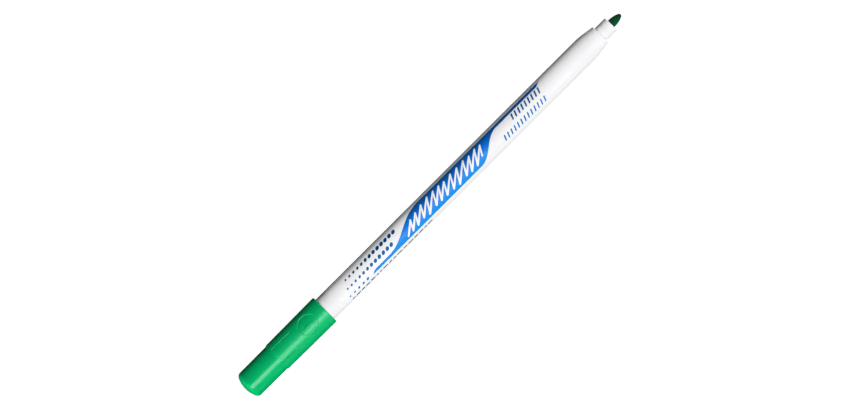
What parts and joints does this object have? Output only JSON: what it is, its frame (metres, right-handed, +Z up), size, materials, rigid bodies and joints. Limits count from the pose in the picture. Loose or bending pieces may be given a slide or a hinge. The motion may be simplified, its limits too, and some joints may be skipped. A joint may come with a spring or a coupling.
{
  "type": "whiteboard marker",
  "caption": "Slim round fibre-tip whiteboard marker, its pull-off cap posted on the rear of a straight barrel.",
  "frame": {"origin": "under the middle of the pen's length, on the surface that it lies on", "axes": "+X along the pen from the cap's closed end to the nib, +Z up, +Y across the pen"},
  "size_m": [0.1554, 0.0098, 0.0098],
  "materials": {
    "barrel_white": "satin",
    "holder_white": "satin",
    "nib_felt": "matte",
    "reservoir_fibre": "matte",
    "reservoir_film": "gloss",
    "plug_green": "satin",
    "cap_green": "satin",
    "liner_natural": "satin",
    "print_blue": "satin"
  },
  "bodies": {
    "barrel": {"barrel": "barrel_white", "nib_holder": "holder_white", "nib": "nib_felt", "ink_reservoir": "reservoir_fibre", "reservoir_wrap": "reservoir_film", "end_plug": "plug_green"},
    "cap": {"cap": "cap_green", "cap_liner": "liner_natural"}
  },
  "joints": [
    {"name": "cap_pull", "type": "slide", "parent": "barrel", "child": "cap", "axis": [-1, 0, 0], "range_m": [0, 0.04]}
  ]
}
